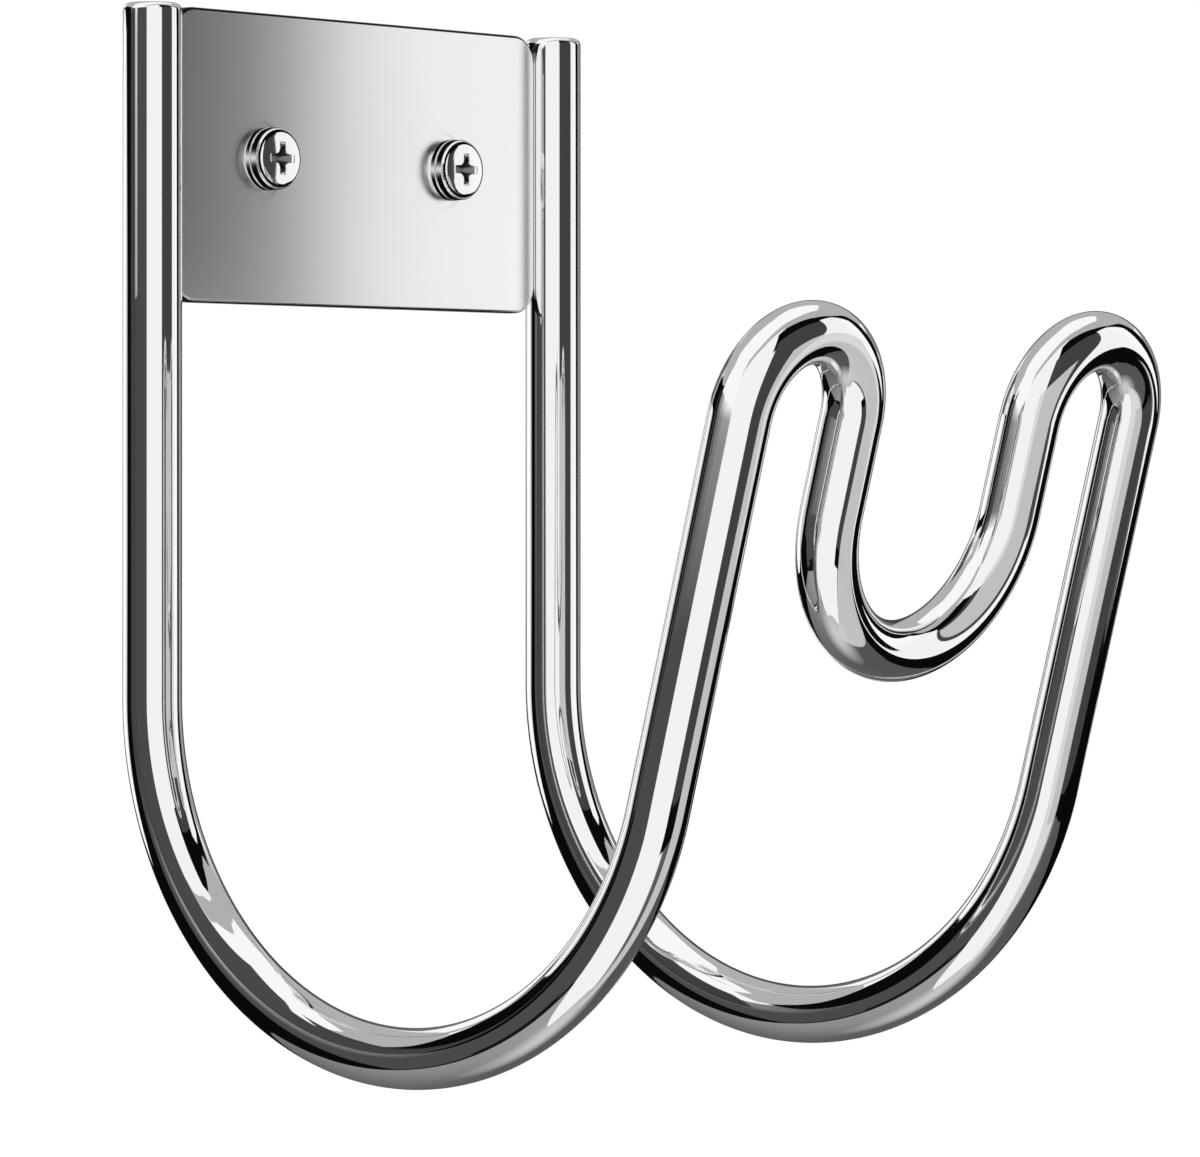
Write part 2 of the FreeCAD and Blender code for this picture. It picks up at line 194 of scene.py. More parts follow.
def wall_leg_and_arc():
    """The straight leg in even steps down, then the cradle.

    The cradle is centre + radius * (cosine, sine) in the plane square to X. The section's first
    direction stays X. The second is the line's own direction crossed with X.
    """
    down = np.linspace(TOP_Z - END_ROUND, LEG_FOOT_Z, LEG_STEPS + 1)
    turn = np.linspace(0, SWEEP, ARC_STEPS + 1)[1:]
    y = np.concatenate([0 * down + ROD_Y, ROD_Y - CRADLE + CRADLE * np.cos(turn)])
    z = np.concatenate([down, LEG_FOOT_Z - CRADLE * np.sin(turn)])
    turned = np.concatenate([0 * down, turn])
    along = np.stack([0 * turned, -np.sin(turned), -np.cos(turned)], -1)
    return np.stack([0 * y + LEG_X, y, z], -1), many(X_AXIS, len(y)), np.cross(along, X_AXIS)


def front_half():
    """The front leg, the hump, the short drop and a quarter of the notch, all in the leaning plane.

    Both bends are centre + radius * (cosine, sine). The first direction of the section points from
    a bend's centre outwards over the hump and inwards under the notch. The second is the plane's
    normal.
    """
    rise = np.linspace(0, FRONT_LENGTH, FRONT_STEPS + 1)[1:]
    over = np.linspace(0, np.pi, HUMP_STEPS + 1)[1:]
    fall = np.linspace(FRONT_LENGTH, FRONT_LENGTH - DROP, DROP_STEPS + 1)[1:]
    under = np.linspace(0, np.pi / 2, NOTCH_STEPS + 1)[1:]
    line = np.concatenate([
        leaning(0 * rise + LEG_X, rise),
        leaning(LEG_X - HUMP + HUMP * np.cos(over), FRONT_LENGTH + HUMP * np.sin(over)),
        leaning(0 * fall + NOTCH, fall),
        leaning(NOTCH * np.cos(under), FRONT_LENGTH - DROP - NOTCH * np.sin(under)),
    ])
    side = np.concatenate([
        many(X_AXIS, len(rise)),
        np.outer(np.cos(over), X_AXIS) + np.outer(np.sin(over), UPHILL),
        many(-X_AXIS, len(fall)),
        np.outer(-np.cos(under), X_AXIS) + np.outer(np.sin(under), UPHILL),
    ])
    return line, side, many(LEAN_NORMAL, len(line))


line, side, third = (np.concatenate(parts) for parts in zip(wall_leg_and_arc(), front_half()))
length = 2 * np.linalg.norm(np.diff(line, axis=0), axis=1).sum() + 2 * END_ROUND
print(f"the rod is {length / MM:.0f} mm long when straight")

# %% The rod's surface


def rounded_end():
    """The end of a wall leg: a ring on the flat top, then a quarter circle out to the full rod."""
    bend = np.linspace(0, np.pi / 2, 10)[:-1]
    flat = ROD - END_ROUND
    radius = np.concatenate([[flat - 0.2 * MM], flat + END_ROUND * np.sin(bend)])
    height = np.concatenate([[TOP_Z], TOP_Z - END_ROUND + END_ROUND * np.cos(bend)])
    return np.stack([0 * height + LEG_X, 0 * height + ROD_Y, height], -1), radius


def polished_rod():
    """Every ring is centre + radius * (cosine * first direction + sine * second direction).

    The second half of the line is the first one mirrored in X and taken backwards.
    """
    cap, cap_radius = rounded_end()
    half = [np.concatenate([cap, line]), np.concatenate([many(X_AXIS, len(cap)), side]),
            np.concatenate([many(-Y_AXIS, len(cap)), third])]
    radius = np.concatenate([cap_radius, np.full(len(line), ROD)])
    mirror = np.array([-1.0, 1.0, 1.0])
    whole = [np.concatenate([part, (part * mirror)[-2::-1]]) for part in half]
    radius = np.concatenate([radius, radius[-2::-1]])[:, None, None]
    angle = np.linspace(0, 2 * np.pi, AROUND, endpoint=False)[None, :, None]
    centre, first, second = (part[:, None, :] for part in whole)
    rows = centre + radius * (np.cos(angle) * first + np.sin(angle) * second)
    top = np.array([LEG_X, ROD_Y, TOP_Z])
    return skin("polished_rod", rows, [top, top * mirror])


rod = polished_rod()
stand_for(rod, "hanger_rod")

# %% [markdown]
# ## The plate
# The plate is cut from 3 mm sheet, 110 by 60 mm, with 6 mm corners and two clearance holes. Its
# front edge is rounded over and its back edge has a small chamfer. A bevelled cube with two
# booleans would do, but the holes would leave uneven faces. Here half the plate is one grid: each
# row is a closed outline, from the hole out to the rim, over the edge and back to the hole. The
# other half is its mirror image, and the two are joined along the middle.

# %% The plate's sizes
PLATE_X, PLATE_Z, PLATE_CORNER = 55 * MM, 30 * MM, 6 * MM
PLATE_FRONT, PLATE_BACK = -6 * MM, -3 * MM
PLATE_ROUND, PLATE_CHAMFER = 0.7 * MM, 0.4 * MM
HOLE_X, HOLE = 28 * MM, 3.3 * MM
PLATE_SIZES = np.array([2 * PLATE_X, 2 * PLATE_Z, PLATE_BACK - PLATE_FRONT])
print("plate in mm:", (PLATE_SIZES / MM).round(2))

# %% Half of the plate's outline


def half_outline():
    """Points round the right half of the plate and the direction out of it at each point.

    The two corners are centre + radius * (cosine, sine). On the middle line the direction only
    points up or down, so that the line shortens when the outline is drawn inwards.
    """
    z_corner, x_corner = PLATE_Z - PLATE_CORNER, PLATE_X - PLATE_CORNER
    turn = np.linspace(0, np.pi / 2, 10)[:-1]
    side, rise = PLATE_CORNER * np.cos(turn), PLATE_CORNER * np.sin(turn)
    up = np.linspace(-z_corner, z_corner, 13)[:-1]
    out = np.linspace(x_corner, 0, 13)[:-1]
    middle = np.linspace(PLATE_Z, -PLATE_Z, 17)[:-1]
    point = [np.stack([0 * up + PLATE_X, up], -1),
             np.stack([x_corner + side, z_corner + rise], -1),
             np.stack([out, 0 * out + PLATE_Z], -1),
             np.stack([0 * middle, middle], -1),
             np.stack([x_corner - out, 0 * out - PLATE_Z], -1),
             np.stack([x_corner + rise, -z_corner - side], -1)]
    normal = [many([1.0, 0.0], len(up)), np.stack([np.cos(turn), np.sin(turn)], -1),
              many([0.0, 1.0], len(out)), np.stack([0 * middle, middle / PLATE_Z], -1),
              many([0.0, -1.0], len(out)), np.stack([np.sin(turn), -np.cos(turn)], -1)]
    return np.concatenate(point), np.concatenate(normal)


outline, outward = half_outline()
print("points round half the plate:", len(outline))

# %% The plate's surface


def mounting_plate():
    """Rows are the outline drawn inwards by a distance, at a depth.

    The rounded edge is a quarter circle of both. Faces on the middle plane are left out, and equal
    points of the two halves are made one.
    """
    reach = outline - [HOLE_X, 0]
    hole = [HOLE_X, 0] + HOLE * reach / np.linalg.norm(reach, axis=1)[:, None]
    bend = np.linspace(0, np.pi / 2, 9)
    inset = np.concatenate([[1.4 * PLATE_ROUND], PLATE_ROUND * (1 - np.sin(bend)), [0, PLATE_CHAMFER]])
    depth = np.concatenate([[PLATE_FRONT], PLATE_FRONT + PLATE_ROUND * (1 - np.cos(bend)),
                            [PLATE_BACK - PLATE_CHAMFER, PLATE_BACK]])
    flat = np.stack([hole, *(outline - step * outward for step in inset), hole])
    depth = np.concatenate([[PLATE_FRONT], depth, [PLATE_BACK]])
    rows = np.stack([flat[..., 0], depth[:, None] + 0 * flat[..., 0], flat[..., 1]], -1)
    count, around = rows.shape[:2]
    ring, row = np.arange(around), np.arange(count)[:, None] * around
    after, below = np.roll(ring, -1), (row + around) % (count * around)
    faces = np.stack([row + ring, row + after, below + after, below + ring], -1).reshape(-1, 4)
    half = rows.reshape(-1, 3)
    faces = faces[np.abs(half[faces][..., 0]).max(1) > TINY]
    points = np.concatenate([half, half * [-1, 1, 1]])
    faces = np.concatenate([faces, faces[:, ::-1] + len(half)])
    keys, where = np.unique(np.round(points / MM, 5), axis=0, return_inverse=True)
    faces = where.reshape(-1)[faces]
    used, faces = np.unique(faces, return_inverse=True)
    return solid("mounting_plate_face", keys[used] * MM, [faces.reshape(-1, 4)], 38)


plate = mounting_plate()
stand_for(plate, "mounting_plate")

# %% [markdown]
# ## The weld seams
# The plate is butted between the legs and welded from behind, where the seam doesn't show from the
# room. A weld seam is a round bead with crescent ripples, one for each drop of metal. It is a grid
# round the bead's own axis: each point lies as far out as the bead reaches, or as far as the rod or
# the plate lets it, whichever is nearer.

# %% The weld seams
SEAM_X, SEAM_Y, SEAM = 55.6 * MM, -2.8 * MM, 2.2 * MM
SEAM_END = 20.8 * MM
RIPPLE, RIPPLE_DEPTH = 2.1 * MM, 0.2 * MM
RIPPLE_BOW, RIPPLE_MIDDLE = 0.8 * MM, np.radians(110)
AIR = 0.02 * MM
DIAGONAL = 0.7071


def weld_seam(name, sign):
    """A bead on the axis (SEAM_X, SEAM_Y). Its radius is the least of three distances, each way round.

    The first is the bead's radius, less a ripple of the height and of the direction. The second is
    the way to the rod's circle, by the quadratic formula. The third is the way into the plate's
    corner, the largest of the ways to its three planes.
    """
    end = np.linspace(-np.pi / 2, 0, 9)[1:]
    z = np.concatenate([-SEAM_END + SEAM * np.sin(end), np.linspace(-SEAM_END, SEAM_END, 181)[1:-1],
                        SEAM_END - SEAM * np.sin(end[::-1])])[:, None]
    angle = np.linspace(0, 2 * np.pi, 64, endpoint=False)[None, :]
    away = np.clip(np.abs(z) - SEAM_END, 0, SEAM)
    wave = np.cos(2 * np.pi * (z + RIPPLE_BOW * np.cos(angle - RIPPLE_MIDDLE)) / RIPPLE)
    bead = np.sqrt(SEAM**2 - away**2) * (1 - RIPPLE_DEPTH / SEAM * (0.5 + 0.5 * wave) ** 2)
    to_x, to_y = SEAM_X - LEG_X, SEAM_Y - ROD_Y
    toward = to_x * np.cos(angle) + to_y * np.sin(angle)
    inside = toward**2 - (to_x**2 + to_y**2 - ROD**2)
    rod_way = np.where((inside > 0) & (toward < 0), -toward - np.sqrt(np.maximum(inside, 0)), 1.0)
    ways = []
    chamfer = DIAGONAL * (PLATE_X + PLATE_BACK - PLATE_CHAMFER)
    for nx, ny, limit in ((1, 0, PLATE_X), (0, 1, PLATE_BACK), (DIAGONAL, DIAGONAL, chamfer)):
        slope = nx * np.cos(angle) + ny * np.sin(angle)
        gap = nx * SEAM_X + ny * SEAM_Y - limit
        level = np.where(gap > 0, 1.0, 0.0)
        ways.append(np.where(slope < -TINY, gap / np.maximum(-slope, TINY), level))
    radius = np.maximum(np.minimum(bead, np.minimum(rod_way, np.max(ways, axis=0))) - AIR, AIR)
    x, y = sign * (SEAM_X + radius * np.cos(angle)), SEAM_Y + radius * np.sin(angle)
    rows = np.stack([x, y, z + 0 * radius], -1)
    poles = [[sign * SEAM_X, SEAM_Y, side * (SEAM_END + SEAM)] for side in (-1, 1)]
    return skin(name, rows, poles, 60)


for side_name, sign in (("left", -1), ("right", 1)):
    stand_for(weld_seam(f"weld_seam_{side_name}", sign), f"weld_{side_name}")

# %% [markdown]
# ## The washers
# A plain washer is a flat ring, 13 mm across with a 6.4 mm hole, and its front edge is slightly
# rounded by punching. Blender's screw modifier could turn its profile. The grid does the same and
# keeps the ring's points evenly spread.

# %% The washers
SEAT_Y = -7.4 * MM
WASHER, WASHER_BORE, WASHER_ROUND, BORE_EDGE = 6.5 * MM, 3.2 * MM, 0.3 * MM, 0.15 * MM


def turned(x, profile, around=96):
    """A profile of (radius, depth) pairs carried round the line X = x, Z = 0: one ring for each pair."""
    angle = np.linspace(0, 2 * np.pi, around, endpoint=False)[None, :]
    radius, depth = np.asarray(profile).T[..., None]
    return np.stack([x + radius * np.cos(angle), depth + 0 * angle, radius * np.sin(angle)], -1)


def washer(name, x):
    """The ring's section as a closed profile: back, hole, front, then a quarter circle at the rim."""
    bend = np.linspace(0, np.pi / 2, 6)
    corner = WASHER - WASHER_ROUND
    over = np.stack([corner + WASHER_ROUND * np.sin(bend),
                     SEAT_Y + WASHER_ROUND * (1 - np.cos(bend))], -1)
    profile = [[WASHER, PLATE_FRONT], [WASHER_BORE, PLATE_FRONT], [WASHER_BORE, SEAT_Y + BORE_EDGE],
               [WASHER_BORE + BORE_EDGE, SEAT_Y], [corner - BORE_EDGE, SEAT_Y], *over]
    return skin(name, turned(x, profile), (), 38)


for side_name, sign in (("left", -1), ("right", 1)):
    stand_for(washer(f"plain_washer_{side_name}", sign * HOLE_X), f"washer_{side_name}")

# %% [markdown]
# ## The screws
# Each screw is a 6 by 40 mm pan head wood screw with a cross recess. The head is a short cylinder
# with a well rounded rim and a nearly flat dome. The recess is a cross whose arms taper to a small
# floor. Booleans would cut it, but they leave long thin faces that spoil the dome's reflection.
# Here one grid runs from the tip of the screw, up its spiral thread, round the head and into the
# recess, while its columns slide from even spacing to the cross's shape.

# %% The screws' sizes
HEAD, HEAD_ROUND, FACE_Y = 6.4 * MM, 1.5 * MM, -10.4 * MM
DOME_SLOPE = np.radians(7)
NECK, CREST, CORE, PITCH = 2.4 * MM, 3.0 * MM, 2.05 * MM, 2.6 * MM
THREAD_Y, TAPER_Y, TIP_Y = -2.5 * MM, 25.6 * MM, 32.6 * MM
RIDGE_FOOT, RIDGE_FLANK, FADE = 0.34, 0.26, 1.5 * MM
COLUMNS, SHANK_RINGS = 96, 290
SPREAD = np.linspace(0, 2 * np.pi, COLUMNS, endpoint=False) - np.pi / 4
SCREW_SIZES = np.array([2 * CREST, TIP_Y - SEAT_Y, 2 * HEAD])
print("screw thread, length and head in mm:", (SCREW_SIZES / MM).round(2))

# %% The screw's shank


def shank_rows():
    """The radius is the core plus a ridge that winds round once per pitch, both shrinking to the tip.

    The ridge's height is a triangle wave of depth / pitch - angle / full turn, narrow at its crest.
    Its foot and its flank are shares of the pitch.
    """
    y = np.linspace(TIP_Y - 0.1 * MM, THREAD_Y - 1.2 * MM, SHANK_RINGS)[:, None]
    limit = np.minimum(CREST, CREST * (TIP_Y - y) / (TIP_Y - TAPER_Y))
    limit = np.minimum(limit, NECK + (CREST - NECK) * np.clip((y - THREAD_Y) / FADE, 0, 1))
    core = CORE + (NECK - CORE) * np.clip((THREAD_Y + FADE - y) / (2 * MM), 0, 1)
    core = np.where(y < THREAD_Y, NECK, np.minimum(core, 0.8 * limit))
    phase = y / PITCH - SPREAD[None, :] / (2 * np.pi)
    ridge = np.clip((RIDGE_FOOT - np.abs(phase - np.floor(phase) - 0.5)) / RIDGE_FLANK, 0, 1)
    radius = core + (np.maximum(limit, core) - core) * ridge
    return np.stack([radius * np.cos(SPREAD), y + 0 * radius, radius * np.sin(SPREAD)], -1)


# %% The screw's head
CROSS = np.array([[1.2, -1.2], [1.75, -0.88], [3.15, -0.8], [3.3, -0.62],
                  [3.3, 0.62], [3.15, 0.8], [1.75, 0.88], [1.2, 1.2]])
CROSS_FLOOR = np.array([[0.5, -0.5], [0.62, -0.5], [1.1, -0.5], [1.2, -0.4],
                        [1.2, 0.4], [1.1, 0.5], [0.62, 0.5], [0.5, 0.5]])
CROSS_STEPS = [0, 5, 10, 11, 13, 14, 19, 24]
RECESS, RECESS_TIP = 2.35 * MM, 2.4 * MM
UNDERCUT, LOWER_EDGE = 0.3 * MM, 0.2 * MM
MOUTH_SIZE, MOUTH_DROP = 1.04, 0.07 * MM


def cross_outline(points):
    """One arm's corners in mm with even steps between them, turned by quarter turns into four arms."""
    step = np.arange(COLUMNS // 4)
    arm = np.stack([np.interp(step, CROSS_STEPS, points[:, axis]) for axis in (0, 1)], -1)
    quarter = np.array([[0, 1], [-1, 0]])
    return np.concatenate([arm @ turn for turn in (np.eye(2), quarter, -np.eye(2), -quarter)]) * MM


def dome(x, z):
    """The head's face is part of a sphere that leaves the rim's arc at the dome's slope."""
    edge = HEAD - HEAD_ROUND + HEAD_ROUND * np.sin(DOME_SLOPE)
    sphere = edge / np.sin(DOME_SLOPE)
    edge_y = FACE_Y + HEAD_ROUND * (1 - np.cos(DOME_SLOPE))
    return edge_y + sphere * np.cos(DOME_SLOPE) - np.sqrt(sphere**2 - x**2 - z**2)


def head_rows():
    """Rings under the head, over its rim, across the dome, and down the recess to its floor.

    On the dome a ring is a blend of the rim's circle and the cross's outline, which ends a little
    outside the mouth and makes its edge. Down the recess it is a blend of the outline at the face
    and the outline at the floor.
    """
    bend = np.linspace(0, np.pi / 2 - DOME_SLOPE, 14)
    edge = HEAD - HEAD_ROUND
    profile = [[NECK, SEAT_Y + UNDERCUT], [NECK + UNDERCUT, SEAT_Y], [HEAD - LOWER_EDGE, SEAT_Y],
               [HEAD, SEAT_Y - LOWER_EDGE], [HEAD, FACE_Y + HEAD_ROUND + 0.3 * MM]]
    rim = np.stack([edge + HEAD_ROUND * np.cos(bend), FACE_Y + HEAD_ROUND * (1 - np.sin(bend))], -1)
    profile = np.concatenate([profile, rim])
    radius, depth = profile[:, :1], profile[:, 1:]
    rings = np.stack([radius * np.cos(SPREAD), depth + 0 * SPREAD, radius * np.sin(SPREAD)], -1)
    mouth = cross_outline(CROSS)
    circle = profile[-1, 0] * np.stack([np.cos(SPREAD), np.sin(SPREAD)], -1)
    blend = np.concatenate([np.linspace(0, 1, 9)[1:-1], [1.0]])[:, None, None]
    face = circle + blend * (mouth * MOUTH_SIZE - circle)
    face = np.stack([face[..., 0], dome(face[..., 0], face[..., 1]), face[..., 1]], -1)
    floor = cross_outline(CROSS_FLOOR)
    down = np.array([0, 0.1, 0.3, 0.5, 0.7, 0.9, 1.0])[:, None]
    top = dome(mouth[:, 0], mouth[:, 1]) + MOUTH_DROP
    wall = mouth[None] + down[..., None] * (floor - mouth)[None]
    wall = np.stack([wall[..., 0], top + down * (FACE_Y + RECESS - top), wall[..., 1]], -1)
    return np.concatenate([rings, face, wall])


def screw(name, x):
    """Every ring from the tip to the recess's floor, moved to its hole, with a pole at each end."""
    rows = np.concatenate([shank_rows(), head_rows()]) + [x, 0, 0]
    return skin(name, rows, [[x, TIP_Y, 0], [x, FACE_Y + RECESS_TIP, 0]], 42)


for side_name, sign in (("left", -1), ("right", 1)):
    stand_for(screw(f"pan_head_screw_{side_name}", sign * HOLE_X), f"screw_{side_name}")

# %% [markdown]
# ## Finishes
# The hanger is bright steel with a polished chrome finish. Chrome has hardly a colour of its own:
# it shows the room. So its material is a very smooth metal, whose roughness changes only a little
# where hands and polishing wheels have been. The plate is the same metal with a softer, satin
# polish. Shader maths is easier to read as plain formulas, so a small class lets Python's signs add
# the Math nodes.

# %% A helper that writes shader maths as formulas


class Wire:
    """One output socket of a shader tree. Signs between wires and numbers add Math nodes."""

    def __init__(self, tree, socket=None):
        self.tree, self.socket = tree, socket

    def add(self, kind, settings=None, inputs=None, out=0):
        """Adds a node of this type, with its settings first, then the values or wires of its inputs."""
        node = self.tree.nodes.new(kind)
        for key, value in (settings or {}).items():
            setattr(node, key, value)
        for key, value in (inputs or {}).items():
            if isinstance(value, Wire):
                self.tree.links.new(value.socket, node.inputs[key])
            else:
                node.inputs[key].default_value = value
        return Wire(self.tree, node.outputs[out])

    def maths(self, operation, *values):
        """Adds a Math node on these values or wires."""
        return self.add("ShaderNodeMath", {"operation": operation}, dict(enumerate(values)))

    def rise(self, low, high):
        """A value that is 0 up to low, 1 from high on, and changes evenly between them."""
        return self.add("ShaderNodeMapRange", inputs={"Value": self, "From Min": low, "From Max": high})

    def __add__(self, other):
        return self.maths("ADD", self, other)

    def __sub__(self, other):
        return self.maths("SUBTRACT", self, other)

    def __rsub__(self, other):
        return self.maths("SUBTRACT", other, self)

    def __mul__(self, other):
        return self.maths("MULTIPLY", self, other)

    __radd__, __rmul__ = __add__, __mul__


def finish(name, shade):
    """Makes a material. The function shade is given a start wire and returns the shader's wire."""
    material = bpy.data.materials.new(name)
    material.use_nodes = True
    tree = material.node_tree
    tree.nodes.clear()
    start = Wire(tree)
    end = tree.nodes.new("ShaderNodeOutputMaterial")
    tree.links.new(shade(start).socket, end.inputs["Surface"])
    print("finish:", name, "with", len(tree.nodes), "nodes")
    return material


# %% Helpers for the finishes


def place(start):
    """The point's x, y and z in the object's own metres."""
    apart = start.add("ShaderNodeSeparateXYZ", inputs={0: start.add("ShaderNodeTexCoord", out="Object")})
    return [Wire(start.tree, socket) for socket in apart.socket.node.outputs]


def haze(start, scale, low, high):
    """Slow noise in the object's own metres, from low to high."""
    where = start.add("ShaderNodeTexCoord", out="Object")
    cloud = start.add("ShaderNodeTexNoise",
                      inputs={"Vector": where, "Scale": scale, "Detail": 3.0}, out="Fac")
    return cloud * (high - low) + low


def mixed(start, amount, plain, other):
    """A colour between two greys: the first where the amount is 0, the second where it is 1."""
    return start.add("ShaderNodeMix", {"data_type": "RGBA"},
                     {0: amount, 6: (plain, plain, plain, 1), 7: (other, other, other, 1)}, out=2)


# %% The polished rod and the seams


def metal(colour, rough_low, rough_high, scale):
    """A metal of one colour whose roughness drifts between two values."""
    def shade(start):
        return start.add("ShaderNodeBsdfPrincipled", inputs={
            "Base Color": (*colour, 1.0), "Metallic": 1.0,
            "Roughness": haze(start, scale, rough_low, rough_high)})
    return shade


POLISHED = finish("polished_chrome", metal((0.93, 0.93, 0.935), 0.02, 0.05, 40))
WELDED = finish("welded_seam", metal((0.80, 0.80, 0.80), 0.18, 0.34, 400))

# %% [markdown]
# The plate's satin face is not quite flat. Rolled sheet that is welded at both ends is drawn in a
# little, so its reflection grows lighter from left to right. A Bump node can lean the face by a few
# degrees without moving it: its height is a curve of x, steepest at the left end. The top and bottom
# edges get painted shade: their colour is nearly black, much darker than the face.

# %% The satin plate
LEAN_A, LEAN_B, LEAN_C = 0.073, -0.86, -2.65
EDGE_FROM, EDGE_FULL, EDGE_LATER = 0.004 * MM, 0.02 * MM, 0.12 * MM
RIM_FROM, RIM_FULL = 24 * MM, 27 * MM
# The second grey is the painted shade of the plate's top and bottom edges.
PLATE_GREY, PAINTED_EDGE_SHADE = 0.97, 0.012
SATIN_LOW, SATIN_HIGH = 0.235, 0.265


def satin(start):
    """Height = a * x + b * x * x + c * x * x * x. Where it rises to the right, the face leans left.

    The painted shade is a dark colour on what lies behind the face, near the top and the bottom of the
    plate. At the bottom it starts a little deeper, so that the rounded edge keeps a light line.
    """
    x, y, z = place(start)
    height = x * (x * (x * LEAN_C + LEAN_B) + LEAN_A)
    lean = start.add("ShaderNodeBump", inputs={"Strength": 1.0, "Distance": 1.0, "Height": height})
    # Painted shade: the edge mask below turns the top and bottom edges nearly black.
    below = z.rise(1 * MM, -1 * MM) * EDGE_LATER
    rim = z.maths("ABSOLUTE", z).rise(RIM_FROM, RIM_FULL)
    edge = (y - below).rise(PLATE_FRONT + EDGE_FROM, PLATE_FRONT + EDGE_FULL) * rim
    return start.add("ShaderNodeBsdfPrincipled", inputs={
        "Base Color": mixed(start, edge, PLATE_GREY, PAINTED_EDGE_SHADE), "Metallic": 1.0,
        "Roughness": haze(start, 60, SATIN_LOW, SATIN_HIGH), "Normal": lean})


SATIN = finish("satin_plate", satin)

# %% [markdown]
# The fasteners are bright chrome too. Each head sits about two degrees askew, as driven screws do,
# which a Bump node gives its face. The recess is darker and rougher than the head.

# %% The bright fasteners
ASKEW = 0.038
DOME_RADIUS = 41 * MM
NEAR_AXIS, OFF_AXIS = 3.5 * MM, 3.7 * MM
UNDER_FACE, DEEP = 0.05 * MM, 0.2 * MM
IN_HEAD_Y, IN_SHANK_Y = -7.8 * MM, -7.6 * MM
HEAD_GREY, RECESS_GREY, RECESS_ROUGH = 0.93, 0.22, 0.25


def fastener(start):
    """The recess is what lies near the screw's axis, in the head, and deeper than the dome there.

    The dome's depth is the squared distance from the axis over twice its radius.
    """
    x, y, z = place(start)
    aside = x.maths("ABSOLUTE", x) - HOLE_X
    square = aside * aside + z * z
    deep = (y - FACE_Y - square * (0.5 / DOME_RADIUS)).rise(UNDER_FACE, DEEP)
    near = square.rise(OFF_AXIS ** 2, NEAR_AXIS ** 2)
    recess = deep * near * y.rise(IN_SHANK_Y, IN_HEAD_Y)
    lean = start.add("ShaderNodeBump", inputs={"Strength": 1.0, "Distance": 1.0, "Height": x * ASKEW})
    return start.add("ShaderNodeBsdfPrincipled", inputs={
        "Base Color": mixed(start, recess, HEAD_GREY, RECESS_GREY), "Metallic": 1.0,
        "Roughness": haze(start, 120, 0.03, 0.08) + recess * RECESS_ROUGH, "Normal": lean})


BRIGHT = finish("bright_fastener", fastener)

# %% Give each piece its finish
FINISHES = {"polished_rod": POLISHED, "mounting_plate_face": SATIN, "weld_seam": WELDED,
            "plain_washer": BRIGHT, "pan_head_screw": BRIGHT}
for piece in bpy.data.objects:
    for start_name, material in FINISHES.items():
        if piece.name.startswith(start_name):
            piece.data.materials.clear()
            piece.data.materials.append(material)
            print(piece.name, "wears", material.name)

# %% [markdown]
# ## The studio cards
# Polished metal looks like what stands round it. So a studio hangs up white and black cards, and
# the metal draws them as clean stripes. A picture wrapped round the scene would do, but cards can
# be moved one by one, and they shift in the metal as real ones do. The cards below stand where such
# cards would: a tall white strip in front with a grey rim above it, a dark flag and a bright panel
# to its right with black borders, a dark flag to its left, and a grey floor card under the hanger.
# Their places are turns round the hanger, counted from the camera's side. They show only in
# reflections. They neither light the hanger nor stand in the picture.

# %% Where a card stands
MIDDLE = np.array([0.0, -0.08, -0.09])
VIEW_TURN = 49.0645
TO_RIGHT = np.array([np.cos(np.radians(VIEW_TURN)), -np.sin(np.radians(VIEW_TURN))])
TO_FRONT = np.array([-np.sin(np.radians(VIEW_TURN)), -np.cos(np.radians(VIEW_TURN))])


def around(*posts):
    """Posts round the hanger: turn in degrees from front to right, distance, lowest and highest slope.

    A post stands at middle + distance * (sine * right + cosine * front). The heights of its ends are
    those of the middle + distance * tangent of the slope.
    """
    turn, distance, low, high = np.array(posts, float).T
    turn, low, high = np.radians(turn), np.radians(low), np.radians(high)
    right, front = distance * np.sin(turn), distance * np.cos(turn)
    plan = MIDDLE[:2] + np.outer(right, TO_RIGHT) + np.outer(front, TO_FRONT)
    ends = [MIDDLE[2] + distance * np.tan(slope) for slope in (low, high)]
    return np.column_stack([plan, *ends])


def beside(*posts):
    """Posts by their way to the right and to the front of the origin, and the heights of their ends."""
    right, front, low, high = np.array(posts, float).T
    return np.column_stack([np.outer(right, TO_RIGHT) + np.outer(front, TO_FRONT), low, high])


print("the front of the cards is", VIEW_TURN, "degrees left of the wall's normal")

# %% What a card is made of


def glowing(start, cover):
    """An emission of the point's glow, mixed with clear air by the cover."""
    glow = start.add("ShaderNodeAttribute", {"attribute_name": "glow"}, out="Fac")
    light = start.add("ShaderNodeEmission", inputs={"Color": glow, "Strength": 1.0})
    clear = start.add("ShaderNodeBsdfTransparent")
    return start.add("ShaderNodeMixShader", inputs={0: cover, 1: clear, 2: light})


def card_shade(start):
    """The card's own glow and cover."""
    return glowing(start, start.add("ShaderNodeAttribute", {"attribute_name": "cover"}, out="Fac"))


CARD = finish("studio_card", card_shade)

# %% A helper that hangs up a card


def only_reflected(name, mesh):
    """Puts a mesh into the scene that the camera doesn't see and that gives no light to other things."""
    made = bpy.data.objects.new(name, mesh)
    bpy.context.scene.collection.objects.link(made)
    made.visible_camera = made.visible_diffuse = made.visible_transmission = made.visible_shadow = False


def glow_and_cover(mesh, glow, cover):
    """Keeps two numbers at each point: how brightly it glows and how well it covers what is behind."""
    for name, values in (("glow", glow), ("cover", cover)):
        store = mesh.attributes.new(name, "FLOAT", "POINT")
        store.data.foreach_set("value", np.ascontiguousarray(values, np.float32))


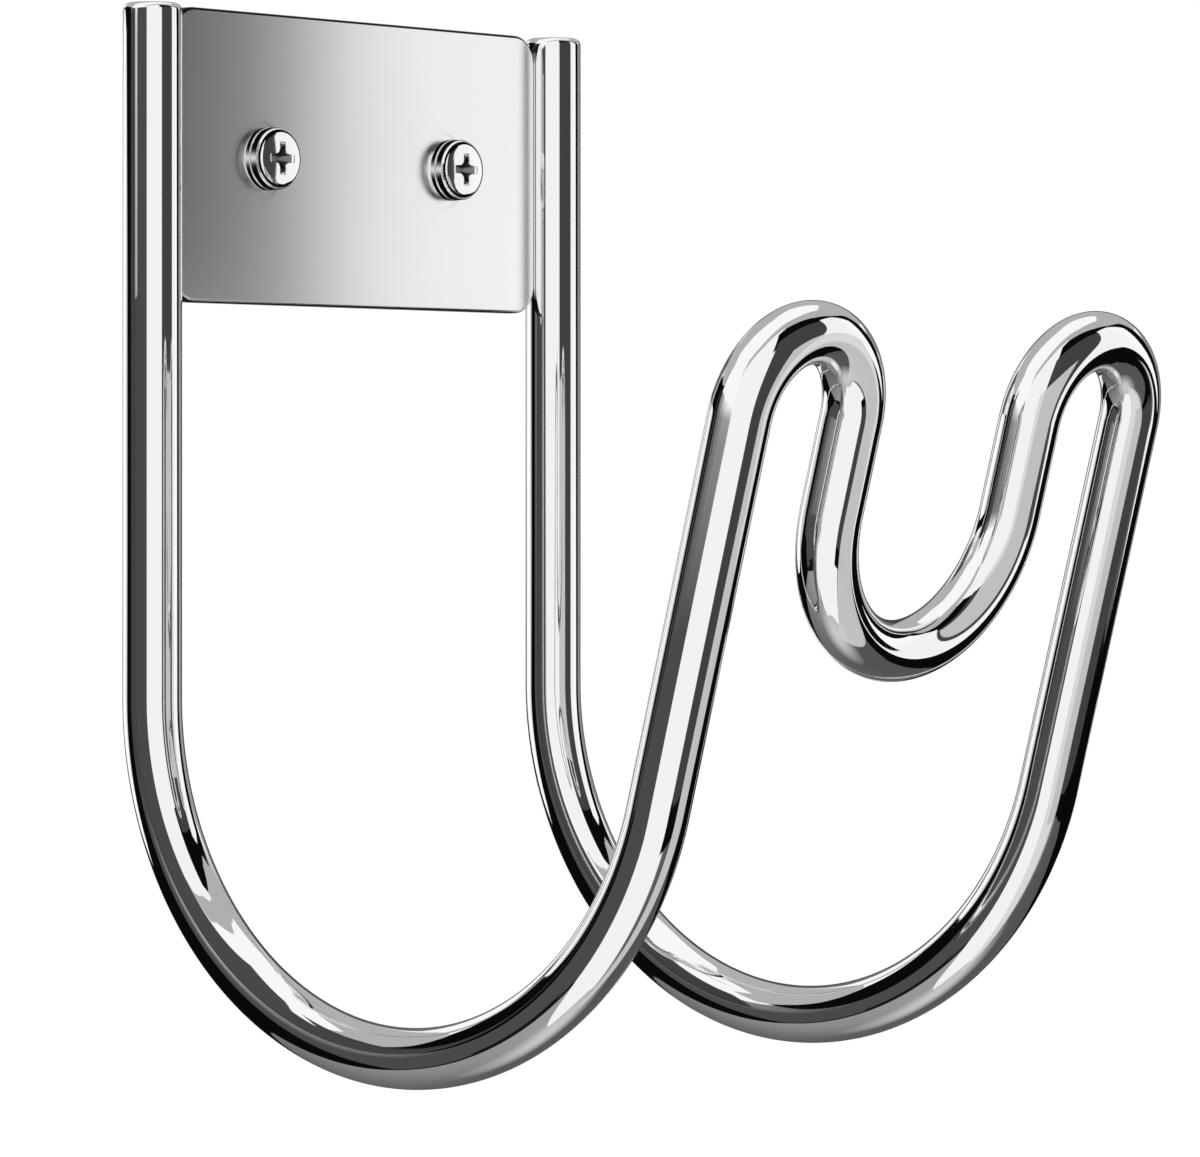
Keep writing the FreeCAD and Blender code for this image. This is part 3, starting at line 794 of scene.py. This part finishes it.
def hang(name, points, faces, glow, cover, material):
    """Makes a card's mesh from points and faces, with its glow and cover, and puts it into the scene."""
    mesh = bpy.data.meshes.new(name)
    mesh.from_pydata(points.tolist(), [], faces)
    glow_and_cover(mesh, glow, cover)
    mesh.materials.append(material)
    only_reflected(name, mesh)


def card(name, posts, low_glow, high_glow=None, cover=1.0):
    """An upright card from post to post.

    Its glow may change from post to post, and from its low edge to its high edge.
    """
    count = len(posts)
    points = np.concatenate([posts[:, [0, 1, 2]], posts[:, [0, 1, 3]]])
    k = np.arange(count - 1)
    faces = np.stack([k, k + 1, k + 1 + count, k + count], -1).tolist()
    low, high, cover = (np.broadcast_to(np.asarray(value, float), count)
                        for value in (low_glow, low_glow if high_glow is None else high_glow, cover))
    hang(name, points, faces, np.concatenate([low, high]), np.concatenate([cover, cover]), CARD)
    print("card", name, "with", count, "posts")


# %% The front cards: the white strip, the grey rim above it, and a light screen low down in front
WHITE, BLACK, DARK, GREY = 0.99, 0.003, 0.055, 0.46
card("white_strip", around((-47, 0.9, -75, -38), (-31, 0.9, -75, -20), (-27, 0.9, -75, 35),
                           (0, 0.9, -75, 52), (20, 0.9, -75, 60), (45, 0.9, -75, 62)), 0.95)
card("grey_rim", around((-30, 1, 30, 44), (-15, 1, 36, 56), (0, 1, 45, 66), (30, 1, 55, 74),
                        (60, 1, 55, 75), (90, 1, 44, 68), (120, 1, 22, 54), (150, 1, 20, 48),
                        (180, 1, 24, 60), (210, 1, 30, 70), (240, 1, 28, 66), (262, 1, 26, 48),
                        (275, 1, 26, 42)), GREY)
# The screen's posts are given as x, y and the heights of their ends.
screen_posts = np.array([[-0.0281, -0.2269, -0.9, -0.04], [0.0557, -0.2169, -0.9, -0.04]])
card("light_screen", screen_posts, 0.68, cover=0.81)

# %% The right-hand cards: the dark flag, the black border round it, and the bright panel
card("dark_flag", around((31.2, 0.392, -27, 38), (86.3, 0.767, -23, 34)), DARK)
card("flag_sill", around((31.2, 0.43, -36, -27), (60, 0.52, -33, -24), (86.3, 0.80, -31, -20),
                         (115, 0.80, -33, -15)), BLACK)
card("flag_border", around((30, 0.8, 30, 56), (45, 0.8, 30, 60), (60, 0.8, 30, 58), (75, 0.8, 30, 54),
                           (90, 0.8, 28, 46), (105, 0.8, 25, 38), (112, 0.8, 25, 36), (121, 0.8, -8, 34),
                           (125, 0.8, -33, 32), (131, 0.8, -33, 22), (134, 0.8, -32, -5),
                           (146, 0.8, -28, -10), (180, 0.8, -14, -6)), [BLACK] * 12 + [0.05])
card("side_border", around((100.5, 0.6, -34, -5), (124, 0.6, -34, -5)), BLACK)
card("back_border", around((126, 1.3, -12, 12), (150, 1.3, -8, 20), (165, 1.3, -8, 26),
                           (180, 1.3, -8, 26), (200, 1.3, -8, 26)), [0.33, 0.24, 0.048, 0.10, 0.20])
card("bright_panel", around((86.3, 0.767, -15, 37), (100, 0.70, -15, 36), (115, 0.66, -14, 27)),
     [0.95, 0.95, 1.06])

# %% The left-hand cards: the dark flag, its soft upper edge, the black border and a round glow
LEFT_DARK, NEAR_DARK, GAP_DARK = 0.072, 0.07, 0.062
card("left_flag", around((-86, 1.2, -29, 0), (-75, 1.2, -31, -2.5), (-63, 1.2, -33, -4.6),
                         (-45, 1.2, -36, -9), (-28.5, 1.2, -36, -13)), LEFT_DARK)
card("left_fade", around((-86, 1.2, 0, 22), (-75, 1.2, -2.5, 20), (-63, 1.2, -4.6, 14),
                         (-45, 1.2, -9, 8), (-28.5, 1.2, -13, 3)),
     LEFT_DARK, [0.18, 0.40, 0.75, WHITE, WHITE])
card("left_border", around((-160, 1.25, -28, -5), (-120, 1.25, -31, 28), (-86, 1.25, -31, 26),
                           (-84, 1.25, -32, -25), (-45, 1.25, -40, -32), (-38, 1.25, -40, -32)),
     [BLACK, BLACK, BLACK, 0.008, 0.008, 0.008])
card("left_glow", around((-147, 1.1, -4, 2), (-140, 1.1, -11, 9), (-130, 1.1, -14, 13),
                         (-120, 1.1, -12, 12), (-112, 1.1, -7, 10), (-105, 1.1, 0, 5)),
     [0.6, 1.0, 1.1, 1.05, 0.7, 0.2])
card("near_flag", beside((-0.0602, 0.1365, -0.13, 0.06), (-0.1403, 0.1249, -0.13, 0.06)), NEAR_DARK)
card("near_flag_gap", beside((-0.1403, 0.1249, -0.13, -0.025), (-0.1702, 0.1158, -0.13, -0.025)),
     GAP_DARK)
card("near_flag_end", beside((-0.1702, 0.1158, -0.13, 0.06), (-0.284, 0.0761, -0.13, 0.06)),
     [GAP_DARK, 0.045])

# %% [markdown]
# ## The collars round the screws: painted shade and a painted highlight
# A screw head is small and sits in its own surroundings: its rim and its sides mirror the plate
# close by and whatever is dark just round it. Moving the big cards for it would spoil the rod's
# stripes. So each screw gets painted shade, a low black collar and a black ring on the plate, with a
# painted highlight, a gleam, on the left. They cover only on the side that faces the screw, and only
# for reflected rays that are a few millimetres long, so nothing but the screw and its washer shows them.

# %% The collars round the screws: painted shade and a painted highlight
REACH, REACH_END = 5.6 * MM, 6.6 * MM
CARD_AROUND = 72
COLLAR_TURN = np.linspace(-np.pi, np.pi, CARD_AROUND + 1)[None, :-1]
COLLAR_RADIUS, COLLAR_BELOW = 8.5 * MM, 0.3 * MM
RING_RADII = np.array([6.6, 9.0, 12.0])[:, None] * MM
RING_AIR = 0.03 * MM
# The gleam is a painted highlight on the plate ring. The rings and collars round it are painted shade.
PAINTED_GLEAM, PAINTED_GLEAM_WIDTH = 0.7, np.radians(10)
BAND, BAND_ENDS, BAND_LEFT = 1.1 * MM, 1.7 * MM, 1.0 * MM


def collar_shade(start):
    """A card that covers only on its inner side, and only for what is close to it."""
    back = start.add("ShaderNodeNewGeometry", out="Backfacing")
    far = start.add("ShaderNodeLightPath", out="Ray Length").rise(REACH, REACH_END)
    return glowing(start, (1 - back) * (1 - far))


COLLAR = finish("collar_card", collar_shade)


def ring_numbers(count):
    """For count rings of points: the numbers of each ring's points, and of their neighbours."""
    k = np.arange(CARD_AROUND)
    first = np.arange(count)[:, None] * CARD_AROUND
    return first + k, first + (k + 1) % CARD_AROUND


def collar_card(name, x, radius, depth, glow):
    """Rings of points round a screw: x + radius * cosine, depth, radius * sine."""
    points = np.stack(np.broadcast_arrays(x + radius * np.cos(COLLAR_TURN), depth,
                                          radius * np.sin(COLLAR_TURN)), -1)
    here, after = ring_numbers(len(points))
    faces = np.stack([here[:-1], here[1:], after[1:], after[:-1]], -1).reshape(-1, 4).tolist()
    glow = (glow + 0 * points[..., 0]).ravel()
    hang(name, points.reshape(-1, 3), faces, glow, np.ones(len(glow)), COLLAR)
    print(name, "round the screw at", round(x / MM), "mm")


# %% Hang up the collars
# The gleam is a painted highlight: a bell curve of the turn, highest at the left. The collar rises over
# the screw's face by a height, plus more of it above and below by sine squared, plus more on its left
# half by cosine squared.
painted_gleam = BLACK + PAINTED_GLEAM * np.exp(-((np.pi - np.abs(COLLAR_TURN)) / PAINTED_GLEAM_WIDTH) ** 2)
left_half = np.clip(-np.cos(COLLAR_TURN), 0, 1)
band = BAND + BAND_ENDS * np.sin(COLLAR_TURN) ** 2 + BAND_LEFT * left_half ** 2
band_depth = np.concatenate([0 * band + FACE_Y + COLLAR_BELOW, FACE_Y - band])
# Painted shade round each screw: a black ring on the plate with the painted gleam, and a black collar.
for side_name, x in (("left", -HOLE_X), ("right", HOLE_X)):
    collar_card(f"plate_ring_{side_name}", x, RING_RADII, PLATE_FRONT - RING_AIR, painted_gleam)
    collar_card(f"collar_{side_name}", x, np.full((2, 1), COLLAR_RADIUS), band_depth, BLACK)

# %% [markdown]
# ## The floor card
# The undersides of the humps and arcs mirror what lies below them. One wide disc, hung low, gives
# them a soft grey that is lighter right below the hanger and to the left.

# %% The floor card: a grey disc, lighter below the hanger and to the left
FLOOR_CARD_DEPTH = 3.5
FLOOR_GLOW = 0.62


def floor_card():
    """Rings of points round the middle: radius = depth / tangent of the slope.

    The glow depends on the turn. Towards the centre it changes to the glow right below.
    """
    turn = np.linspace(-180, 180, CARD_AROUND + 1)[:-1]
    side = np.interp(turn, [-180, -120, -60, 20, 60, 120, 180],
                     [0.11, 0.19, 0.34, 0.34, 0.10, 0.09, 0.11])
    slope, nearness = np.array([82, 72, 62, 40, 19]), np.array([0.9, 0.45, 0.0, 0.0, 0.0])
    radius = FLOOR_CARD_DEPTH / np.tan(np.radians(slope))[:, None]
    ways = np.outer(np.sin(np.radians(turn)), TO_RIGHT) + np.outer(np.cos(np.radians(turn)), TO_FRONT)
    plan = MIDDLE[:2] + radius[..., None] * ways
    low = np.full(plan.shape[:2], MIDDLE[2] - FLOOR_CARD_DEPTH)
    points = np.concatenate([np.dstack([plan, low]).reshape(-1, 3), [[*MIDDLE[:2], low[0, 0]]]])
    glow = np.append((side + (FLOOR_GLOW - side) * nearness[:, None]).ravel(), FLOOR_GLOW)
    here, after = ring_numbers(len(slope))
    faces = np.stack([here[:-1], after[:-1], after[1:], here[1:]], -1).reshape(-1, 4).tolist()
    faces += np.stack([here[0], after[0], np.full(CARD_AROUND, len(points) - 1)], -1).tolist()
    hang("floor_card", points, faces, glow, np.ones(len(points)), CARD)
    print("floor card", round(2 * radius.max(), 1), "m across")


floor_card()

# %% [markdown]
# ## The floor, the world and the lamp
# The floor is a plain pale sheet, well below the hanger. It glows a little for the camera, so it is
# white where the lamp reaches it and soft grey in the shadow. It stays out of the metal's
# reflections, which show the cards. The world is white to the camera and to the metal, and gives a
# gentle light to everything else.

# %% The floor
FLOOR_Z, FLOOR_HALF = -0.30, 9
FLOOR_GREY, SHADOW_GLOW, ROOM_GLOW = 0.86, 0.2, 0.5


def floor_shade(start):
    """Plain diffuse, plus a glow that only the camera sees."""
    seen = start.add("ShaderNodeLightPath", out="Is Camera Ray")
    grey = (FLOOR_GREY, FLOOR_GREY, FLOOR_GREY, 1)
    pale = start.add("ShaderNodeBsdfDiffuse", inputs={"Color": grey})
    white = (1, 1, 1, 1)
    glow = start.add("ShaderNodeEmission", inputs={"Color": white, "Strength": SHADOW_GLOW * seen})
    return start.add("ShaderNodeAddShader", inputs={0: pale, 1: glow})


corners = [(x * FLOOR_HALF, y * FLOOR_HALF, FLOOR_Z) for x, y in ((-1, -1), (1, -1), (1, 1), (-1, 1))]
mesh = bpy.data.meshes.new("floor")
mesh.from_pydata(corners, [], [(0, 1, 2, 3)])
mesh.materials.append(finish("pale_floor", floor_shade))
floor = bpy.data.objects.new("floor", mesh)
floor.visible_glossy = False
bpy.context.scene.collection.objects.link(floor)
print("floor", round(-FLOOR_Z / MM), "mm below the screws")

# %% The world
world = bpy.data.worlds.new("studio")
bpy.context.scene.world = world
world.use_nodes = True
tree = world.node_tree
tree.nodes.clear()
start = Wire(tree)
rays = [start.add("ShaderNodeLightPath", out=f"Is {kind} Ray")
        for kind in ("Camera", "Glossy", "Transmission")]
seen = start.maths("MINIMUM", rays[0] + rays[1] + rays[2], 1.0)
strength = ROOM_GLOW + (1 - ROOM_GLOW) * seen
glow = start.add("ShaderNodeBackground", inputs={"Color": (1, 1, 1, 1), "Strength": strength})
tree.links.new(glow.socket, tree.nodes.new("ShaderNodeOutputWorld").inputs["Surface"])
print("world with", len(tree.nodes), "nodes")

# %% The lamp
sun = bpy.data.lights.new("soft_lamp", "SUN")
sun.energy, sun.angle = 1.5, np.radians(25)
lamp = bpy.data.objects.new("soft_lamp", sun)
lamp.rotation_euler = (np.radians(12), np.radians(-10), 0)
lamp.visible_glossy = False
bpy.context.scene.collection.objects.link(lamp)
print("lamp of strength", sun.energy)

# %% [markdown]
# ## The camera
# The camera looks level at the hanger from its left, about 1.2 m away, through a long lens, so that
# upright lines stay upright. Its place and its lens follow from the perspective of the wall legs,
# the arcs and the plate. A small shift of the lens moves the frame down without tilting the camera.

# %% The camera
camera = bpy.data.cameras.new("camera")
camera.sensor_width, camera.lens = 36, 170.047
camera.shift_x, camera.shift_y = 0.0, -0.07934
eye = bpy.data.objects.new("camera", camera)
eye.location = (-0.86419, -0.82196, -0.06672)
eye.rotation_euler = (np.radians(90), 0, np.radians(-VIEW_TURN))
bpy.context.scene.collection.objects.link(eye)
bpy.context.scene.camera = eye
bpy.context.scene.view_settings.view_transform = "Standard"
print("camera", round(float(np.linalg.norm(eye.location)), 2), "m from the plate")
